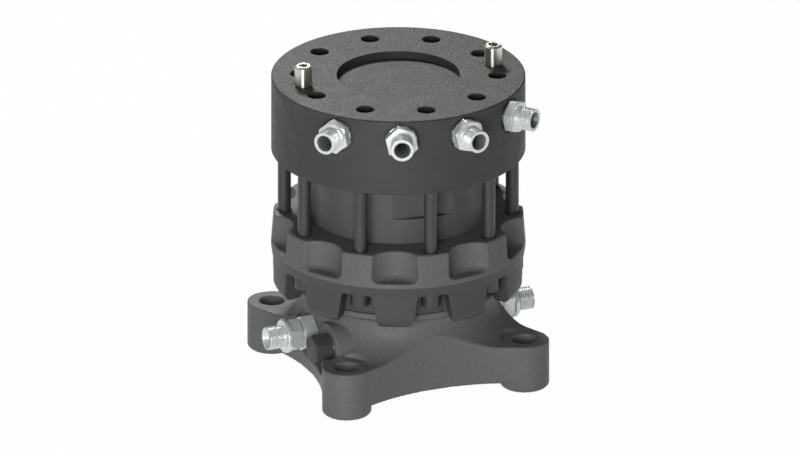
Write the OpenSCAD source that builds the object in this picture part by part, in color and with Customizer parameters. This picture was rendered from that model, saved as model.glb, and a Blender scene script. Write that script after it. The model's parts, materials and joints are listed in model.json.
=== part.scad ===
// Hydraulic rotator: a four-footed base that carries the shaft, and a housing
// that turns about it on a thrust ball bearing, driven by a vane motor.
// The frame's origin is on the floor, on the turning axis, between the four feet.

/* [Foot] */
// Distance between neighbouring foot holes
foot_pitch = 175; // [170:1:180]
// Radius of the round end of each foot
ear_r = 22.5; // [21.5:0.5:24]
// Diameter of the foot holes, clear for M20
foot_hole_d = 22; // [18:0.5:24]
// Height of the feet, up to their spot faces
ear_h = 45; // [43.5:0.5:46]
// Height of the web's underside above the floor
web_z = 10; // [9:0.5:12]
// Radius of the concave sides between the feet
side_r = 180; // [170:5:200]
// Radius of the neck at its narrowest
neck_r = 87; // [86:0.5:88]
// Radius of the cove between the neck and the feet
cove_r = 45; // [43:0.5:46]
// Radius of the lip round the neck's top
lip_r = 93.5; // [92.5:0.5:94]
// Height of the ports in the foot above the floor
base_port_z = 46.3; // [46:0.1:47]
// Distance of the ports' pad from the axis
pad_x = 85.2; // [85:0.1:86]
// Distance of the blanked port from the middle of the pad
plug_y = 40.8; // [40:0.1:42]

/* [Housing] */
// Turn of the housing about the shaft at rest, in degrees
housing_turn = -6.3; // [-20:0.1:20]
// Height of the seam between the foot and the housing
seam_z = 86.6; // [86.4:0.1:86.8]
// Height of the lower ends of the tabs
tab_z = 80; // [79:0.5:82]
// Height of the seats of the tie bolt heads
bolt_seat_z = 112; // [111:0.5:113]
// Height of the casting's parting line
parting_z = 121.2; // [120:0.1:122]
// Height of the floors of the scallops
scallop_z = 125.5; // [124.5:0.5:127]
// Height of the flange's top face
flange_z = 152; // [151:0.5:153]
// Radius of the flange at its top
flange_r = 113.5; // [113:0.5:114]
// Radius of the flange at the parting line
parting_r = 115.8; // [115.5:0.1:116.5]
// Radius of the tabs' outer faces
tab_r = 114.5; // [114:0.5:115]
// Radius of the cutter that makes a scallop
scallop_r = 25; // [24:0.5:26]
// Distance of the scallop cutter from the axis
scallop_centre = 125.5; // [125:0.5:127]
// Radius of the skirt behind the tie bolt heads
skirt_r = 94; // [93.5:0.5:94]
// Half the width of the gap between two tabs, at its top
gap_half_w = 15; // [14:0.5:15.5]
// How much wider each side of that gap is at its mouth
gap_flare = 4; // [2:0.5:5]

/* [Manifold] */
// Height of the manifold's top face above the floor
top_z = 285; // [284:0.5:288]
// Height of the manifold's underside above the floor
manifold_z = 213; // [212.5:0.5:213.5]
// Radius of the manifold
manifold_r = 115.5; // [114.5:0.5:117]
// Diameter of the circle of top fixing holes
top_circle_d = 180; // [178:1:182]
// Diameter of the top fixing holes, for M16
top_hole_d = 16; // [12:1:16]
// Diameter of the recess in the top face
recess_d = 112; // [100:1:116]
// Depth of the recess in the top face
recess_depth = 7; // [4:0.5:8]
// Diameter of the two locating dowels
dowel_d = 16; // [12:1:18]
// Height of the dowels above the top face
dowel_proud = 19; // [12:1:24]
// Height of the port axes above the floor
port_z = 267; // [266:0.5:268]

/* [Tie bolts] */
// Number of tie bolts, and of the holes in the top face
bolt_count = 10; // [8:2:10]
// Diameter of the tie bolts
bolt_d = 12; // [10:1:12]
// Radius of the circle of tie bolts
bolt_circle_r = 103.5; // [103:0.5:104]

/* [Fittings] */
// Width across the flats of the upper adapters
port_hex = 27; // [24:1:28]
// Diameter of the upper adapters' thread, G 1/2
port_thread_d = 20.955; // [18:0.005:21]
// Length of the upper adapters' outer thread
port_thread_l = 12.5; // [10:0.5:16]
// Width across the flats of the lower reducers
reducer_hex = 29; // [27:1:30]
// Width across the flats of the lower adapters
base_hex = 27; // [24:1:28]
// Diameter of the lower adapters' thread, G 1/2
base_thread_d = 20.955; // [18:0.005:21]
// Distance of the lower adapters' ends from the axis
base_adapter_end = 130; // [128:0.5:136]
// Width across the flats of the blanking plugs
plug_hex = 22; // [19:1:24]
// Distance of the blanking plugs' ends from the axis
plug_end = 102.8; // [100:0.1:104]

/* [Vane motor] */
// Radius of the cam ring outside
cam_ring_r = 82; // [81.5:0.5:83]
// Smallest radius of the cam
cam_min_r = 58.4; // [58.3:0.1:58.6]
// Largest radius of the cam, at the middle of a lobe
cam_max_r = 66; // [65:0.5:66]
// Radius of each lobe of the cam
lobe_r = 40; // [39:0.5:41]
// Radius of the rotor
rotor_r = 58; // [57:0.5:58]
// Thickness of the vanes
vane_t = 3.5; // [3:0.1:4]
// Radial length of the vanes
vane_l = 19; // [18:0.5:20]
// Radius of the shaft in its bushes
journal_r = 50; // [49.5:0.5:50]
// Radius of the swivel spool
spool_r = 40; // [38:0.5:40]

/* [Thrust bearing] */
// Radius of the balls
ball_r = 6; // [5.5:0.5:6]
// Number of balls
ball_count = 20; // [16:1:22]
// Radius of the ring of balls
ball_circle_r = 72; // [71.5:0.5:72.5]

/* [Hidden] */
$fn = 96;

// Clearances, each on the radius or between two faces
run_gap = 0.05;
press_gap = 0.02;
thread_gap = 0.05;
bolt_gap = 0.5;
tie_gap = 0.3;
seam_gap = 0.3;
// Length by which a cutter passes the face that it opens
over = 1;
// Length by which two cones or discs overlap, so that no skin is left
sliver = 0.01;

// Angles in the housing's own frame: the ports are centred on -90 degrees
port_middle = -90;
port_angles = [-45, -15, 15, 45];
bolt_step = 360 / bolt_count;
lobe_count = 4;
lobe_phase = 60;
lobe_shift = cam_max_r - lobe_r;
dwell_angle = lobe_phase + 225;
vane_count = 8;
vane_step = 360 / vane_count;
// Vanes stand halfway up the cam's slopes when the housing is at rest
vane_phase = housing_turn + lobe_phase + vane_step / 2;

// Foot
half_pitch = foot_pitch / 2;
side_centre = half_pitch + sqrt(pow(side_r + ear_r, 2) - pow(half_pitch, 2));
ear_share = ear_r / (side_r + ear_r);
// Where a side's arc runs into the round end of a foot, on the two axes
ear_near = half_pitch * (1 - ear_share);
ear_far = half_pitch + (side_centre - half_pitch) * ear_share;
ear_circle_r = half_pitch * sqrt(2);
ear_chamfer = 2.5;
spot_rim = 1;
spot_r = ear_r - spot_rim;
hole_chamfer = 1;
cove_centre_r = neck_r + cove_r;
cove_centre_z = ear_h + cove_r;
// The cove stops a little before it would run out to nothing
cove_stop_r = cove_centre_r - 4;
base_top_z = seam_z - seam_gap;
lip_h = 5.3;
lip_z = base_top_z - lip_h;
lip_slope = 3;
pad_half_h = 23.6;
pad_long = 70;
pad_short = 57;
reducer_seat_x = pad_x - 2.9;
reducer_spot_r = 17.5;
plug_seat_x = pad_x - 0.4;
plug_spot_r = 15;
reducer_thread_r = 13.2;
reducer_thread_l = 14;
plug_thread_r = 8.3;
plug_thread_l = 12;
gallery_r = 4.5;
link_r = 4;
link_x = pad_x - 24.2;
core_in_r = 60;
core_out_r = 76;
core_depth = 17;
core_top_z = web_z + core_depth;
centre_hole_r = 12;

// Shaft
shaft_z = base_port_z - 12.3;
spool_cover = 14;
spool_top_z = top_z - spool_cover;
rotor_z0 = flange_z + run_gap;
rotor_z1 = manifold_z - run_gap;
slot_floor_r = 37;
shaft_gallery_x = 20;
swivel_groove_z = [port_z - 23, port_z - 11];
swivel_groove_half = 3;
swivel_groove_depth = 4;
swivel_seal_z = [port_z - 29, port_z - 17, port_z - 5];
seal_half = 2;
seal_depth = 3;
spigot_seal_z = [base_port_z - 7.3, base_port_z + 9.7];
oring_r = 1.5;
oring_gap = 0.1;
screw_r = 6;
screw_head_r = 9;
screw_head_l = 12;
screw_circle_r = 36;
screw_count = 8;
screw_grip = 24;
socket_af = 10;
socket_l = 6;

// Vanes
vane_tip_r = cam_min_r - 0.1;
vane_side_gap = 0.1;
spring_t = 0.5;
spring_w = 3;
spring_l = 50;
spring_gap = 0.05;
spring_rise = vane_tip_r - vane_l - slot_floor_r - spring_t - 2 * spring_gap;
spring_bow_r = (pow(spring_l / 2, 2) + pow(spring_rise, 2)) / (2 * spring_rise);

// Housing
gap_top_round = 4;
tab_foot_round = 5;
tab_round = 11;
scallop_round = 6;
flange_edge = 1;

// Bearing
race_in_r = ball_circle_r - 12;
race_out_r = ball_circle_r + 12;
race_h = 10;
race_gap = 8;
lower_race_z = seam_z - 12.6;
ball_z = lower_race_z + race_h + race_gap / 2;
race_groove_r = ball_r + 0.3;
race_groove_gap = 0.1;
upper_race_z = lower_race_z + race_h + race_gap;
cavity_z = upper_race_z + race_h;
cage_half_w = 9;
cage_half_h = 3;
cage_pocket_gap = 0.2;
seal_w = 9;
seal_pocket_r = journal_r + seal_w;
seal_h = 9;
bush_t = 4;
wiper_in_r = race_out_r + 2.6;
wiper_out_r = wiper_in_r + 3.4;
wiper_h = 3.5;

// Cam ring and wear plates
plate_t = 6;
cam_seal_r = (cam_max_r + cam_ring_r) / 2;
plate_r = cam_seal_r - 3;
cam_flat_x = cam_ring_r - 5;
cam_flat_z = flange_z + 23.7;
cam_dowel_r = 3;
cam_dowel_wall = 0.6;
cam_dowel_circle_r = cam_ring_r - cam_dowel_r - cam_dowel_wall;
cam_dowel_depth = 8;
motor_gallery_r = 2.5;
motor_gallery_x = 66.8;
ring_gallery_in_r = 56;
ring_gallery_out_r = 62;
lower_gallery_in_r = journal_r + 9;
lower_gallery_out_r = 70;
ring_gallery_h = 4;
chamber_hole_r = 2;
chamber_hole_x = 60.6;
chamber_angle = 12;

// Manifold
spot_face_r = 16.2;
spot_depth = 1.8;
port_seat_x = manifold_r - spot_depth;
port_bore_l = 14;
feed_x = 59;
drill_end_x = feed_x + 3;
swivel_drill_r = 2.5;
top_hole_depth = 24;
top_hole_chamfer = 0.8;
manifold_edge = 1;
bolt_grip = 24;
dowel_chamfer = 1.5;
dowel_screw_r = 6;
dowel_neck_r = 7.5;
dowel_spot_r = 10.5;
dowel_spot_depth = 0.6;
dowel_screw_l = 20;
dowel_socket_af = 8;
dowel_socket_l = 8;
dowel_circle_r = top_circle_d / 2;
bolt_head_r = 9;
bolt_head_l = 12;

// Fittings
washer_t = 3;
washer_r = 14;
port_hex_l = 8.6;
relief_l = 3;
relief_depth = 1.2;
port_stud_l = 12;
port_bore_r = 5.4;
port_mouth_r = 7.6;
cone_half_angle = 30;
thread_lead = 1;
reducer_hex_l = 13.4;
base_washer_t = 1.6;
base_washer_r = 12.4;
reducer_washer_r = 16;
base_thread_l = 15.7;
base_relief_l = 1.5;
base_collar_l = 4;
base_collar_r = 14.6;
base_stud_l = 10;
base_bore_r = 6;
base_mouth_r = 9;
plug_washer_t = 1.5;
plug_washer_r = 12.5;
plug_collar_l = 3;
plug_collar_r = 13;
hex_corner = 0.6;

// A disc between two heights
module disc(r, z0, z1) {
    translate([0, 0, z0])
        cylinder(r = r, h = z1 - z0);
}

// A plain ring between two radii and two heights
module ring(r_in, r_out, z0, z1) {
    difference() {
        disc(r_out, z0, z1);
        disc(r_in, z0 - over, z1 + over);
    }
}

// A round bar bent into a ring
module torus(r_ring, r_bar, z) {
    translate([0, 0, z])
        rotate_extrude()
            translate([r_ring, 0])
                circle(r = r_bar);
}

// Points of an arc about [x, y], from angle a0 to angle a1
function arc(x, y, r, a0, a1, steps = 8) = [
    for (i = [0 : steps])
        let (a = a0 + (a1 - a0) * i / steps)
            [x + r * cos(a), y + r * sin(a)]
];

// A disc whose lower edge is rounded with radius e
module round_bottom_disc(r, z0, z1, e) {
    rotate_extrude()
        polygon(concat([[0, z0]], arc(r - e, z0 + e, e, -90, 0), [[r, z1], [0, z1]]));
}

// A cylinder along a radius at a height, from one distance to another
module radial(r, x0, x1, z) {
    translate([x0, 0, z])
        rotate([0, 90, 0])
            cylinder(r = r, h = x1 - x0);
}

// A cone along a radius at a height
module radial_cone(r0, r1, x0, x1, z) {
    translate([x0, 0, z])
        rotate([0, 90, 0])
            cylinder(r1 = r0, r2 = r1, h = x1 - x0);
}

// A hexagon bar along a radius, with a corner pointing up, its far corners turned off
module radial_hex(af, x0, x1, z) {
    corner_r = af / sqrt(3);
    turned_r = corner_r - hex_corner;
    slope_l = 2 * hex_corner;
    intersection() {
        translate([x0, 0, z])
            rotate([0, 90, 0])
                cylinder(r = corner_r, h = x1 - x0, $fn = 6);
        union() {
            radial(corner_r + over, x0 - over, x1 - slope_l, z);
            radial_cone(corner_r + hex_corner, turned_r - hex_corner, x1 - slope_l, x1 + slope_l, z);
        }
    }
}

// Copies of a piece at every tie bolt, in the housing's frame
module at_bolts() {
    for (i = [0 : bolt_count - 1])
        rotate(port_middle + i * bolt_step)
            children();
}

// Copies of a piece halfway between the tie bolts
module at_scallops() {
    for (i = [0 : bolt_count - 1])
        rotate(port_middle + (i + 0.5) * bolt_step)
            children();
}

// Copies of a piece at the four feet
module at_feet() {
    for (x = [-1, 1])
        for (y = [-1, 1])
            translate([x * half_pitch, y * half_pitch, 0])
                children();
}

// Copies of a piece on both sides of the foot, half a turn apart
module on_both_sides() {
    for (a = [0, 180])
        rotate(a)
            children();
}

// The plate's outline: four round ends joined by concave sides
module star(z0, z1) {
    difference() {
        translate([0, 0, z0])
            linear_extrude(height = z1 - z0)
                polygon([
                    [ear_near, ear_far], [ear_far, ear_near],
                    [ear_far, -ear_near], [ear_near, -ear_far],
                    [-ear_near, -ear_far], [-ear_far, -ear_near],
                    [-ear_far, ear_near], [-ear_near, ear_far]
                ]);
        for (i = [0 : 3])
            rotate(i * 90)
                translate([side_centre, 0, 0])
                    disc(side_r, z0 - over, z1 + over);
    }
    at_feet()
        disc(ear_r, z0, z1);
}

// The neck's flared body above the plate
module cove_body() {
    difference() {
        disc(cove_stop_r, ear_h - over, base_top_z);
        torus(cove_centre_r, cove_r, cove_centre_z);
    }
}

// The milled pocket that holds the ports of one side, long end towards the plug
module pad_pocket() {
    y_short = pad_short - pad_half_h;
    y_long = pad_long - pad_half_h;
    for (y = [-y_short, y_long])
        translate([0, y, 0])
            radial(pad_half_h, pad_x, ear_circle_r, base_port_z);
    translate([pad_x, -y_short, base_port_z - pad_half_h])
        cube([ear_circle_r - pad_x, y_short + y_long, 2 * pad_half_h]);
}

// The ports of one side and the passage that links them
module base_ports() {
    radial(reducer_spot_r, reducer_seat_x, pad_x + over, base_port_z);
    radial(reducer_thread_r + thread_gap, reducer_seat_x - reducer_thread_l - over,
        pad_x, base_port_z);
    radial(gallery_r, journal_r - over, pad_x, base_port_z);
    translate([0, plug_y, 0]) {
        radial(plug_spot_r, plug_seat_x, pad_x + over, base_port_z);
        radial(plug_thread_r + thread_gap, plug_seat_x - plug_thread_l - over, pad_x, base_port_z);
        radial(link_r, link_x, pad_x, base_port_z);
    }
    translate([link_x, 0, base_port_z])
        rotate([-90, 0, 0])
            cylinder(r = link_r, h = plug_y);
}

// One foot's post below the plate, chamfered at the floor
module foot_post() {
    cylinder(r1 = ear_r - ear_chamfer, r2 = ear_r, h = ear_chamfer);
    disc(ear_r, ear_chamfer, web_z + over);
}

// One foot's hole with its spot face and chamfer
module foot_hole() {
    hole_r = foot_hole_d / 2;
    disc(hole_r, -over, ear_h + over);
    disc(spot_r, ear_h, cove_centre_z);
    translate([0, 0, ear_h - hole_chamfer])
        cylinder(r1 = hole_r, r2 = hole_r + hole_chamfer + sliver, h = hole_chamfer + sliver);
}

module base_casting() color([0.29, 0.29, 0.28]) difference() {
    union() {
        star(web_z, ear_h);
        intersection() {
            star(ear_h - over, base_top_z);
            cove_body();
        }
        disc(lip_r, lip_z, base_top_z);
        translate([0, 0, lip_z - lip_slope])
            cylinder(r1 = neck_r, r2 = lip_r, h = lip_slope);
        at_feet()
            foot_post();
    }
    at_feet()
        foot_hole();
    on_both_sides() {
        pad_pocket();
        base_ports();
    }
    disc(journal_r + press_gap, shaft_z, base_top_z + over);
    disc(race_out_r + press_gap, lower_race_z, base_top_z + over);
    ring(wiper_in_r, wiper_out_r, base_top_z - wiper_h, base_top_z + over);
    ring(core_in_r, core_out_r, web_z - over, core_top_z);
    disc(centre_hole_r, web_z - over, shaft_z + over);
    at_screws() {
        disc(screw_r + bolt_gap, web_z - over, shaft_z + over);
        disc(screw_head_r + bolt_gap, web_z - over, web_z + screw_head_l);
    }
}

// Copies of a piece at every rotor screw
module at_screws() {
    for (i = [0 : screw_count - 1])
        rotate((i + 0.5) * 360 / screw_count)
            translate([screw_circle_r, 0, 0])
                children();
}

// Copies of a piece at every vane, its length along X
module at_vane(i) {
    rotate(vane_phase + (i - 1) * vane_step)
        children();
}

module rotor_shaft() color([0.62, 0.63, 0.64]) difference() {
    union() {
        disc(journal_r, shaft_z, rotor_z0 + over);
        disc(rotor_r, rotor_z0, rotor_z1);
        disc(spool_r, rotor_z1 - over, spool_top_z);
    }
    for (i = [1 : vane_count])
        at_vane(i)
            translate([slot_floor_r, -vane_t / 2 - run_gap, rotor_z0 - over])
                cube([rotor_r, vane_t + 2 * run_gap, rotor_z1 - rotor_z0 + over]);
    for (z = swivel_groove_z)
        ring(spool_r - swivel_groove_depth, spool_r + over, z - swivel_groove_half,
            z + swivel_groove_half);
    for (z = swivel_seal_z)
        ring(spool_r - seal_depth, spool_r + over, z - seal_half, z + seal_half);
    for (z = spigot_seal_z)
        torus(journal_r, oring_r + oring_gap, z);
    for (i = [0, 1])
        rotate(i * 180) {
            radial(gallery_r, shaft_gallery_x, journal_r + over, base_port_z);
            translate([shaft_gallery_x, 0, 0])
                disc(gallery_r, base_port_z, swivel_groove_z[i]);
            radial(swivel_drill_r, shaft_gallery_x, spool_r, swivel_groove_z[i]);
        }
    at_screws()
        disc(screw_r + thread_gap, shaft_z - over, shaft_z + screw_grip + over);
}

// One socket-head screw pointing up, the top of its head at z_seat
module cap_screw(shank_r, head_r, head_l, z_seat, z_end) {
    difference() {
        union() {
            disc(head_r, z_seat - head_l, z_seat);
            disc(shank_r, z_seat - over, z_end);
        }
        translate([0, 0, z_seat - head_l - over])
            cylinder(r = socket_af / sqrt(3), h = socket_l + over, $fn = 6);
    }
}

module rotor_screws() color([0.18, 0.18, 0.19])
    at_screws()
        cap_screw(screw_r, screw_head_r, screw_head_l, web_z + screw_head_l, shaft_z + screw_grip);

module swivel_seals() color([0.85, 0.83, 0.78])
    for (z = swivel_seal_z)
        ring(spool_r - seal_depth + oring_gap, spool_r, z - seal_half + oring_gap,
            z + seal_half - oring_gap);

module spigot_seals() color([0.08, 0.08, 0.08])
    for (z = spigot_seal_z)
        intersection() {
            torus(journal_r, oring_r, z);
            disc(journal_r, z - oring_r - over, z + oring_r + over);
        }

module lower_race() color([0.72, 0.72, 0.73]) difference() {
    ring(race_in_r, race_out_r, lower_race_z, lower_race_z + race_h);
    torus(ball_circle_r, race_groove_r, ball_z + race_groove_r - ball_r - race_groove_gap);
}

module upper_race() color([0.72, 0.72, 0.73]) difference() {
    ring(race_in_r, race_out_r, upper_race_z, upper_race_z + race_h);
    torus(ball_circle_r, race_groove_r, ball_z - race_groove_r + ball_r + race_groove_gap);
}

// Copies of a piece at every ball
module at_balls() {
    for (i = [0 : ball_count - 1])
        rotate(i * 360 / ball_count)
            translate([ball_circle_r, 0, ball_z])
                children();
}

module bearing_balls() color([0.8, 0.8, 0.82])
    at_balls()
        sphere(r = ball_r);

module bearing_cage() color([0.72, 0.6, 0.3]) difference() {
    ring(ball_circle_r - cage_half_w, ball_circle_r + cage_half_w, ball_z - cage_half_h,
        ball_z + cage_half_h);
    at_balls()
        cylinder(r = ball_r + cage_pocket_gap, h = 2 * cage_half_h + 2 * over, center = true);
}

module dust_wiper() color([0.1, 0.1, 0.1]) difference() {
    ring(wiper_in_r + press_gap, wiper_out_r - press_gap, base_top_z - wiper_h,
        seam_z + seam_gap - run_gap);
    translate([0, 0, base_top_z])
        cylinder(r1 = wiper_in_r, r2 = wiper_in_r + 2 * seam_gap, h = 2 * seam_gap);
}

// One side's reducer, screwed into the foot along +X
module reducer() {
    thread_x = reducer_seat_x - reducer_thread_l;
    hex_x = reducer_seat_x + base_washer_t;
    difference() {
        union() {
            radial(reducer_thread_r, thread_x, hex_x + over, base_port_z);
            radial_hex(reducer_hex, hex_x, hex_x + reducer_hex_l, base_port_z);
        }
        radial(base_bore_r, thread_x - over, hex_x + reducer_hex_l, base_port_z);
        radial(base_thread_d / 2 + thread_gap, hex_x + reducer_hex_l - base_stud_l - over,
            hex_x + reducer_hex_l + over, base_port_z);
    }
}

// One side's outer adapter along +X
module base_adapter() {
    seat_x = reducer_seat_x + base_washer_t + reducer_hex_l;
    hex_x = seat_x + base_washer_t;
    thread_x = base_adapter_end - base_thread_l;
    collar_x = thread_x - base_collar_l;
    thread_r = base_thread_d / 2;
    cone_l = (base_mouth_r - base_bore_r) / tan(cone_half_angle);
    difference() {
        union() {
            radial(thread_r, seat_x - base_stud_l, hex_x + over, base_port_z);
            radial_hex(base_hex, hex_x, collar_x, base_port_z);
            radial(base_collar_r, collar_x, thread_x - over, base_port_z);
            radial_cone(base_collar_r, base_collar_r - over, thread_x - over, thread_x, base_port_z);
            radial(thread_r - relief_depth, thread_x - over, thread_x + base_relief_l + over,
                base_port_z);
            radial(thread_r, thread_x + base_relief_l, base_adapter_end - thread_lead, base_port_z);
            radial_cone(thread_r, thread_r - thread_lead, base_adapter_end - thread_lead,
                base_adapter_end, base_port_z);
        }
        radial(base_bore_r, seat_x - base_stud_l - over, base_adapter_end, base_port_z);
        radial_cone(base_bore_r, base_mouth_r, base_adapter_end - cone_l, base_adapter_end + sliver,
            base_port_z);
    }
}

module base_reducer_1() color([0.78, 0.78, 0.76]) reducer();
module base_reducer_2() color([0.78, 0.78, 0.76]) rotate(180) reducer();
module base_adapter_1() color([0.82, 0.82, 0.8]) base_adapter();
module base_adapter_2() color([0.82, 0.82, 0.8]) rotate(180) base_adapter();

// A flat sealing washer along +X
module washer(r_in, r_out, x, t, z) {
    difference() {
        radial(r_out, x, x + t, z);
        radial(r_in, x - over, x + t + over, z);
    }
}

module reducer_seals() color([0.7, 0.7, 0.68])
    on_both_sides()
        washer(reducer_thread_r + oring_gap, reducer_washer_r, reducer_seat_x, base_washer_t,
            base_port_z);

module adapter_seals() color([0.7, 0.7, 0.68])
    on_both_sides()
        washer(base_thread_d / 2 + oring_gap, base_washer_r,
            reducer_seat_x + base_washer_t + reducer_hex_l, base_washer_t, base_port_z);

module base_plugs() color([0.13, 0.13, 0.13])
    on_both_sides()
        translate([0, plug_y, 0]) {
            hex_x = plug_seat_x + plug_washer_t + plug_collar_l;
            radial(plug_thread_r, plug_seat_x - plug_thread_l, hex_x, base_port_z);
            radial(plug_collar_r, hex_x - plug_collar_l, hex_x, base_port_z);
            radial_hex(plug_hex, hex_x, plug_end, base_port_z);
        }

module plug_seals() color([0.6, 0.42, 0.25])
    on_both_sides()
        translate([0, plug_y, 0])
            washer(plug_thread_r + oring_gap, plug_washer_r, plug_seat_x, plug_washer_t, base_port_z);

// One vane in its slot, tip outwards, its length along X
module vane() {
    tip_round = vane_t / 2;
    z0 = rotor_z0 + vane_side_gap;
    z1 = rotor_z1 - vane_side_gap;
    translate([vane_tip_r - vane_l, -vane_t / 2, z0])
        cube([vane_l - tip_round, vane_t, z1 - z0]);
    translate([vane_tip_r - tip_round, 0, 0])
        disc(tip_round, z0, z1);
}

module vane_1() color([0.5, 0.5, 0.52]) at_vane(1) vane();
module vane_2() color([0.5, 0.5, 0.52]) at_vane(2) vane();
module vane_3() color([0.5, 0.5, 0.52]) at_vane(3) vane();
module vane_4() color([0.5, 0.5, 0.52]) at_vane(4) vane();
module vane_5() color([0.5, 0.5, 0.52]) at_vane(5) vane();
module vane_6() color([0.5, 0.5, 0.52]) at_vane(6) vane();
module vane_7() color([0.5, 0.5, 0.52]) at_vane(7) vane();
module vane_8() color([0.5, 0.5, 0.52]) at_vane(8) vane();

// One bowed leaf spring between the floor of a slot and its vane
module bow_spring() {
    crown_x = slot_floor_r + spring_gap + spring_rise + spring_t;
    mid_z = (rotor_z0 + rotor_z1) / 2;
    intersection() {
        translate([crown_x - spring_bow_r, spring_w / 2, mid_z])
            rotate([90, 0, 0])
                ring(spring_bow_r - spring_t, spring_bow_r, 0, spring_w);
        translate([slot_floor_r + spring_gap, -spring_w, mid_z - spring_l / 2])
            cube([vane_l, 2 * spring_w, spring_l]);
    }
}

module vane_springs() color([0.45, 0.48, 0.55])
    for (i = [1 : vane_count])
        at_vane(i)
            bow_spring();

// One side of the gap between two tabs, from below: round the tab's lower
// corner, up its sloping side and round again under the bolt head's seat
function gap_side(top_round, foot_round) = concat(
    [[gap_half_w + gap_flare + foot_round, tab_z - over]],
    arc(gap_half_w + gap_flare + foot_round, tab_z + foot_round, foot_round, -90, -180),
    arc(gap_half_w - top_round, bolt_seat_z - top_round, top_round, 0, 90)
);

// The gap between two tabs, cut along a radius
module tab_gap() {
    side = gap_side(gap_top_round, tab_foot_round);
    other_side = [for (i = [len(side) - 1 : -1 : 0]) [-side[i][0], side[i][1]]];
    translate([skirt_r / 2, 0, 0])
        rotate([90, 0, 90])
            linear_extrude(height = tab_r)
                polygon(concat(side, other_side));
}

// One scallop's cutter, rounded round the foot of its wall
module scallop_cutter() {
    translate([scallop_centre, 0, 0])
        round_bottom_disc(scallop_r, scallop_z, flange_z + over, scallop_round);
}

// The housing as turned: flange, parting line, tabs' ring and the face of the seam
module housing_blank() {
    tab_clear_r = skirt_r + 2;
    face_z = seam_z + seam_gap;
    rotate_extrude()
        polygon(concat(
            [[0, face_z], [tab_clear_r, face_z], [tab_clear_r, tab_z]],
            arc(tab_r - tab_round, tab_z + tab_round, tab_round, -90, 0),
            [
                [tab_r, bolt_seat_z], [parting_r, parting_z],
                [flange_r, flange_z - flange_edge], [flange_r - flange_edge, flange_z], [0, flange_z]
            ]
        ));
}

// Everything that the gaps between the tabs take away, outside the skirt
module tab_gaps() {
    difference() {
        at_bolts()
            tab_gap();
        disc(skirt_r, tab_z - 2 * over, flange_z);
    }
}

// Copies of a piece at the two cam dowels
module at_cam_dowels() {
    for (a = [0, 180])
        rotate(a)
            translate([cam_dowel_circle_r, 0, 0])
                children();
}

module bearing_housing() color([0.33, 0.33, 0.32]) rotate(housing_turn) difference() {
    housing_blank();
    tab_gaps();
    at_scallops()
        scallop_cutter();
    disc(race_out_r + press_gap, seam_z - over, cavity_z);
    disc(seal_pocket_r, cavity_z - over, cavity_z + seal_h);
    disc(journal_r + bush_t + press_gap, cavity_z, flange_z + over);
    disc(plate_r + press_gap, flange_z - plate_t, flange_z + over);
    ring(lower_gallery_in_r, lower_gallery_out_r, flange_z - plate_t - ring_gallery_h,
        flange_z - plate_t + over);
    at_bolts()
        translate([bolt_circle_r, 0, 0])
            disc(bolt_d / 2 + tie_gap, bolt_seat_z - over, flange_z + over);
    at_cam_dowels()
        disc(cam_dowel_r + press_gap, flange_z - cam_dowel_depth - over, flange_z + over);
}

module lower_bush() color([0.7, 0.55, 0.3]) rotate(housing_turn)
    ring(journal_r + run_gap, journal_r + bush_t, cavity_z + seal_h, flange_z - plate_t);

module upper_bush() color([0.7, 0.55, 0.3]) rotate(housing_turn)
    ring(spool_r + run_gap, spool_r + bush_t, manifold_z + plate_t, swivel_seal_z[0] - plate_t);

// A lip seal: a channel of rubber whose inner edge meets the shaft
module shaft_seal() color([0.12, 0.12, 0.12]) difference() {
    ring(journal_r + run_gap, seal_pocket_r - press_gap, cavity_z, cavity_z + seal_h);
    ring(journal_r + bush_t - over, seal_pocket_r - over, cavity_z - over, cavity_z + seal_h / 2);
}

// The holes that feed the vane motor's chambers through a wear plate
module chamber_holes(side, z0, z1) {
    for (i = [0 : lobe_count - 1])
        rotate(lobe_phase + i * 360 / lobe_count + side * chamber_angle)
            translate([chamber_hole_x, 0, 0])
                disc(chamber_hole_r, z0, z1);
}

// The passage that runs down through the cam ring at one of its thick places
module motor_gallery(z0, z1) {
    rotate(dwell_angle)
        translate([motor_gallery_x, 0, 0])
            disc(motor_gallery_r, z0, z1);
}

module upper_wear_plate() color([0.6, 0.5, 0.3]) rotate(housing_turn) difference() {
    ring(spool_r + bolt_gap, plate_r, manifold_z, manifold_z + plate_t);
    chamber_holes(1, manifold_z - over, manifold_z + plate_t + over);
    motor_gallery(manifold_z - over, manifold_z + plate_t + over);
}

module lower_wear_plate() color([0.6, 0.5, 0.3]) rotate(housing_turn) difference() {
    ring(journal_r + bolt_gap, plate_r, flange_z - plate_t, flange_z);
    chamber_holes(-1, flange_z - plate_t - over, flange_z + over);
    motor_gallery(flange_z - plate_t - over, flange_z + over);
}

module cam_ring() color([0.28, 0.28, 0.28]) rotate(housing_turn) difference() {
    disc(cam_ring_r, flange_z, manifold_z);
    disc(cam_min_r, flange_z - over, manifold_z + over);
    for (i = [0 : lobe_count - 1])
        rotate(lobe_phase + i * 360 / lobe_count)
            translate([lobe_shift, 0, 0])
                disc(lobe_r, flange_z - over, manifold_z + over);
    rotate(port_middle)
        translate([cam_flat_x, -cam_ring_r, cam_flat_z])
            cube([cam_ring_r, 2 * cam_ring_r, manifold_z]);
    for (z = [flange_z, manifold_z])
        torus(cam_seal_r, oring_r + oring_gap, z);
    motor_gallery(flange_z - over, manifold_z + over);
    at_cam_dowels()
        disc(cam_dowel_r + press_gap, flange_z - over, manifold_z + over);
}

module cam_seals() color([0.08, 0.08, 0.08]) {
    intersection() {
        torus(cam_seal_r, oring_r, flange_z);
        disc(cam_ring_r, flange_z, flange_z + 2 * oring_r);
    }
    intersection() {
        torus(cam_seal_r, oring_r, manifold_z);
        disc(cam_ring_r, manifold_z - 2 * oring_r, manifold_z);
    }
}

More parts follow.
